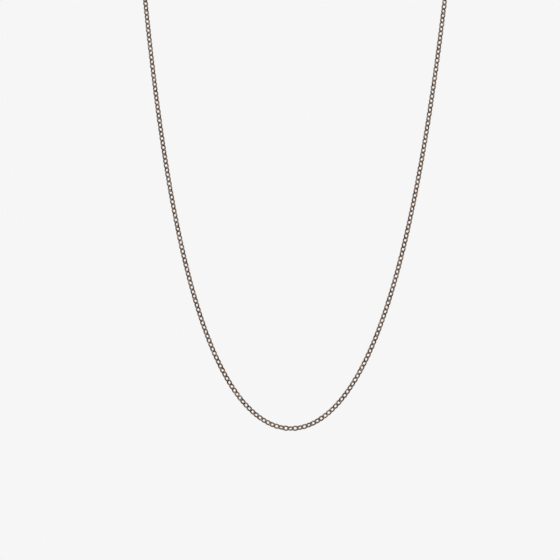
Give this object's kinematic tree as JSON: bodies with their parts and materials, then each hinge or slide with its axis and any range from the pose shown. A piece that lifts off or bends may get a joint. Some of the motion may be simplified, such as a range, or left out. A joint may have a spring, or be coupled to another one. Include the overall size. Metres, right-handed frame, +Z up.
{
  "type": "chain necklace",
  "caption": "Fine cable chain necklace of oval wire links in dark antiqued metal, hanging in a long U and closed at the nape with a lobster clasp.",
  "frame": {"origin": "on the chain's line at the middle of the nape, where the neck or a display stand holds the necklace up", "axes": "+Z up; +Y out of the nape, away from the neck; the drape hangs in front, at negative Y; +X to the wearer's left"},
  "size_m": [0.101, 0.049, 0.179],
  "materials": {
    "chain": "dark antiqued metal, polished on the high spots",
    "clasp": "dark antiqued metal, cast and polished",
    "steel": "plain spring steel"
  },
  "bodies": {
    "neck_loop": {"left_neck_01": "chain", "left_neck_02": "chain", "left_neck_03": "chain", "left_neck_04": "chain", "left_neck_05": "chain", "left_neck_06": "chain", "left_neck_07": "chain", "right_neck_01": "chain", "right_neck_02": "chain", "right_neck_03": "chain", "right_neck_04": "chain", "right_neck_05": "chain", "right_neck_06": "chain", "right_neck_07": "chain"},
    "left_drape_01": {"left_drape_01": "chain"},
    "left_drape_02": {"left_drape_02": "chain"},
    "left_drape_03": {"left_drape_03": "chain"},
    "left_drape_04": {"left_drape_04": "chain"},
    "left_drape_05": {"left_drape_05": "chain"},
    "left_drape_06": {"left_drape_06": "chain"},
    "left_drape_07": {"left_drape_07": "chain"},
    "left_drape_08": {"left_drape_08": "chain"},
    "left_drape_09": {"left_drape_09": "chain"},
    "left_drape_10": {"left_drape_10": "chain"},
    "left_drape_11": {"left_drape_11": "chain"},
    "left_drape_12": {"left_drape_12": "chain"},
    "right_drape_01": {"right_drape_01": "chain"},
    "right_drape_02": {"right_drape_02": "chain"},
    "right_drape_03": {"right_drape_03": "chain"},
    "right_drape_04": {"right_drape_04": "chain"},
    "right_drape_05": {"right_drape_05": "chain"},
    "right_drape_06": {"right_drape_06": "chain"},
    "right_drape_07": {"right_drape_07": "chain"},
    "right_drape_08": {"right_drape_08": "chain"},
    "right_drape_09": {"right_drape_09": "chain"},
    "right_drape_10": {"right_drape_10": "chain"},
    "right_drape_11": {"right_drape_11": "chain"},
    "right_drape_12": {"right_drape_12": "chain"},
    "bottom_run": {"bottom_run": "chain"},
    "left_end_link_1": {"left_end_link_1": "chain"},
    "left_end_link_2": {"left_end_link_2": "chain"},
    "left_end_link_3": {"left_end_link_3": "chain"},
    "left_end_link_4": {"left_end_link_4": "chain"},
    "clasp_ring": {"clasp_ring": "clasp"},
    "right_end_link_1": {"right_end_link_1": "chain"},
    "right_end_link_2": {"right_end_link_2": "chain"},
    "right_end_link_3": {"right_end_link_3": "chain"},
    "right_end_link_4": {"right_end_link_4": "chain"},
    "end_ring": {"end_ring": "clasp"},
    "clasp": {"clasp_body": "clasp", "trigger_pin": "steel", "trigger_spring": "steel"},
    "trigger": {"clasp_trigger": "clasp"}
  },
  "joints": [
    {"name": "left_drape_01_swing", "type": "hinge", "parent": "neck_loop", "child": "left_drape_01", "pos_m": [-0.04845, -0.04595, -0.03921], "axis": [1, 0, 0], "range_deg": [-30, 30]},
    {"name": "left_drape_02_swing", "type": "hinge", "parent": "left_drape_01", "child": "left_drape_02", "pos_m": [-0.04698, -0.04595, -0.05112], "axis": [-1, 0, 0], "range_deg": [-30, 30]},
    {"name": "left_drape_03_swing", "type": "hinge", "parent": "left_drape_02", "child": "left_drape_03", "pos_m": [-0.04538, -0.04595, -0.06302], "axis": [1, 0, 0], "range_deg": [-30, 30]},
    {"name": "left_drape_04_swing", "type": "hinge", "parent": "left_drape_03", "child": "left_drape_04", "pos_m": [-0.04364, -0.04595, -0.07489], "axis": [-1, 0, 0], "range_deg": [-30, 30]},
    {"name": "left_drape_05_swing", "type": "hinge", "parent": "left_drape_04", "child": "left_drape_05", "pos_m": [-0.04171, -0.04595, -0.08673], "axis": [1, 0, 0], "range_deg": [-30, 30]},
    {"name": "left_drape_06_swing", "type": "hinge", "parent": "left_drape_05", "child": "left_drape_06", "pos_m": [-0.03957, -0.04595, -0.09854], "axis": [-1, 0, 0], "range_deg": [-30, 30]},
    {"name": "left_drape_07_swing", "type": "hinge", "parent": "left_drape_06", "child": "left_drape_07", "pos_m": [-0.03715, -0.04595, -0.11029], "axis": [1, 0, 0], "range_deg": [-30, 30]},
    {"name": "left_drape_08_swing", "type": "hinge", "parent": "left_drape_07", "child": "left_drape_08", "pos_m": [-0.03438, -0.04595, -0.12197], "axis": [-1, 0, 0], "range_deg": [-30, 30]},
    {"name": "left_drape_09_swing", "type": "hinge", "parent": "left_drape_08", "child": "left_drape_09", "pos_m": [-0.03113, -0.04595, -0.13352], "axis": [1, 0, 0], "range_deg": [-30, 30]},
    {"name": "left_drape_10_swing", "type": "hinge", "parent": "left_drape_09", "child": "left_drape_10", "pos_m": [-0.02721, -0.04595, -0.14486], "axis": [-1, 0, 0], "range_deg": [-30, 30]},
    {"name": "left_drape_11_swing", "type": "hinge", "parent": "left_drape_10", "child": "left_drape_11", "pos_m": [-0.0223, -0.04595, -0.1558], "axis": [1, 0, 0], "range_deg": [-30, 30]},
    {"name": "left_drape_12_swing", "type": "hinge", "parent": "left_drape_11", "child": "left_drape_12", "pos_m": [-0.01577, -0.04595, -0.16584], "axis": [-1, 0, 0], "range_deg": [-30, 30]},
    {"name": "right_drape_01_swing", "type": "hinge", "parent": "neck_loop", "child": "right_drape_01", "pos_m": [0.04845, -0.04595, -0.03921], "axis": [1, 0, 0], "range_deg": [-30, 30]},
    {"name": "right_drape_02_swing", "type": "hinge", "parent": "right_drape_01", "child": "right_drape_02", "pos_m": [0.04698, -0.04595, -0.05112], "axis": [-1, 0, 0], "range_deg": [-30, 30]},
    {"name": "right_drape_03_swing", "type": "hinge", "parent": "right_drape_02", "child": "right_drape_03", "pos_m": [0.04538, -0.04595, -0.06302], "axis": [1, 0, 0], "range_deg": [-30, 30]},
    {"name": "right_drape_04_swing", "type": "hinge", "parent": "right_drape_03", "child": "right_drape_04", "pos_m": [0.04364, -0.04595, -0.07489], "axis": [-1, 0, 0], "range_deg": [-30, 30]},
    {"name": "right_drape_05_swing", "type": "hinge", "parent": "right_drape_04", "child": "right_drape_05", "pos_m": [0.04171, -0.04595, -0.08673], "axis": [1, 0, 0], "range_deg": [-30, 30]},
    {"name": "right_drape_06_swing", "type": "hinge", "parent": "right_drape_05", "child": "right_drape_06", "pos_m": [0.03957, -0.04595, -0.09854], "axis": [-1, 0, 0], "range_deg": [-30, 30]},
    {"name": "right_drape_07_swing", "type": "hinge", "parent": "right_drape_06", "child": "right_drape_07", "pos_m": [0.03715, -0.04595, -0.11029], "axis": [1, 0, 0], "range_deg": [-30, 30]},
    {"name": "right_drape_08_swing", "type": "hinge", "parent": "right_drape_07", "child": "right_drape_08", "pos_m": [0.03438, -0.04595, -0.12197], "axis": [-1, 0, 0], "range_deg": [-30, 30]},
    {"name": "right_drape_09_swing", "type": "hinge", "parent": "right_drape_08", "child": "right_drape_09", "pos_m": [0.03113, -0.04595, -0.13352], "axis": [1, 0, 0], "range_deg": [-30, 30]},
    {"name": "right_drape_10_swing", "type": "hinge", "parent": "right_drape_09", "child": "right_drape_10", "pos_m": [0.02721, -0.04595, -0.14486], "axis": [-1, 0, 0], "range_deg": [-30, 30]},
    {"name": "right_drape_11_swing", "type": "hinge", "parent": "right_drape_10", "child": "right_drape_11", "pos_m": [0.0223, -0.04595, -0.1558], "axis": [1, 0, 0], "range_deg": [-30, 30]},
    {"name": "right_drape_12_swing", "type": "hinge", "parent": "right_drape_11", "child": "right_drape_12", "pos_m": [0.01577, -0.04595, -0.16584], "axis": [-1, 0, 0], "range_deg": [-30, 30]},
    {"name": "bottom_run_swing", "type": "hinge", "parent": "left_drape_12", "child": "bottom_run", "pos_m": [-0.00654, -0.04595, -0.17335], "axis": [1, 0, 0], "range_deg": [-30, 30]},
    {"name": "left_end_link_1_turn", "type": "hinge", "parent": "neck_loop", "child": "left_end_link_1", "pos_m": [-0.0144, 0, 0], "axis": [1, 0, 0], "range_deg": [-20, 20]},
    {"name": "left_end_link_2_turn", "type": "hinge", "parent": "left_end_link_1", "child": "left_end_link_2", "pos_m": [-0.0129, 0, 0], "axis": [1, 0, 0], "range_deg": [-20, 20]},
    {"name": "left_end_link_3_turn", "type": "hinge", "parent": "left_end_link_2", "child": "left_end_link_3", "pos_m": [-0.0114, 0, 0], "axis": [1, 0, 0], "range_deg": [-20, 20]},
    {"name": "left_end_link_4_turn", "type": "hinge", "parent": "left_end_link_3", "child": "left_end_link_4", "pos_m": [-0.0099, 0, 0], "axis": [1, 0, 0], "range_deg": [-20, 20]},
    {"name": "clasp_ring_turn", "type": "hinge", "parent": "left_end_link_4", "child": "clasp_ring", "pos_m": [-0.0084, 0, 0], "axis": [1, 0, 0], "range_deg": [-20, 20]},
    {"name": "right_end_link_1_turn", "type": "hinge", "parent": "neck_loop", "child": "right_end_link_1", "pos_m": [0.0144, 0, 0], "axis": [1, 0, 0], "range_deg": [-20, 20]},
    {"name": "right_end_link_2_turn", "type": "hinge", "parent": "right_end_link_1", "child": "right_end_link_2", "pos_m": [0.0129, 0, 0], "axis": [1, 0, 0], "range_deg": [-20, 20]},
    {"name": "right_end_link_3_turn", "type": "hinge", "parent": "right_end_link_2", "child": "right_end_link_3", "pos_m": [0.0114, 0, 0], "axis": [1, 0, 0], "range_deg": [-20, 20]},
    {"name": "right_end_link_4_turn", "type": "hinge", "parent": "right_end_link_3", "child": "right_end_link_4", "pos_m": [0.0099, 0, 0], "axis": [1, 0, 0], "range_deg": [-20, 20]},
    {"name": "end_ring_turn", "type": "hinge", "parent": "right_end_link_4", "child": "end_ring", "pos_m": [0.0084, 0, 0], "axis": [1, 0, 0], "range_deg": [-20, 20]},
    {"name": "clasp_turn", "type": "hinge", "parent": "clasp_ring", "child": "clasp", "pos_m": [-0.00544, 0, 0], "axis": [1, 0, 0], "range_deg": [-20, 20]},
    {"name": "trigger_press", "type": "hinge", "parent": "clasp", "child": "trigger", "pos_m": [-0.0019, 0, 0.00075], "axis": [0, 1, 0], "range_deg": [0, 20], "stiffness_Nm_per_rad": 0.004, "springref_deg": -11.46, "deforming": ["trigger_spring"]}
  ],
  "couplings": [
    {"joint": "right_drape_01_swing", "follows": "left_drape_01_swing", "ratio": 1},
    {"joint": "right_drape_02_swing", "follows": "left_drape_02_swing", "ratio": 1},
    {"joint": "right_drape_03_swing", "follows": "left_drape_03_swing", "ratio": 1},
    {"joint": "right_drape_04_swing", "follows": "left_drape_04_swing", "ratio": 1},
    {"joint": "right_drape_05_swing", "follows": "left_drape_05_swing", "ratio": 1},
    {"joint": "right_drape_06_swing", "follows": "left_drape_06_swing", "ratio": 1},
    {"joint": "right_drape_07_swing", "follows": "left_drape_07_swing", "ratio": 1},
    {"joint": "right_drape_08_swing", "follows": "left_drape_08_swing", "ratio": 1},
    {"joint": "right_drape_09_swing", "follows": "left_drape_09_swing", "ratio": 1},
    {"joint": "right_drape_10_swing", "follows": "left_drape_10_swing", "ratio": 1},
    {"joint": "right_drape_11_swing", "follows": "left_drape_11_swing", "ratio": 1},
    {"joint": "right_drape_12_swing", "follows": "left_drape_12_swing", "ratio": 1}
  ]
}
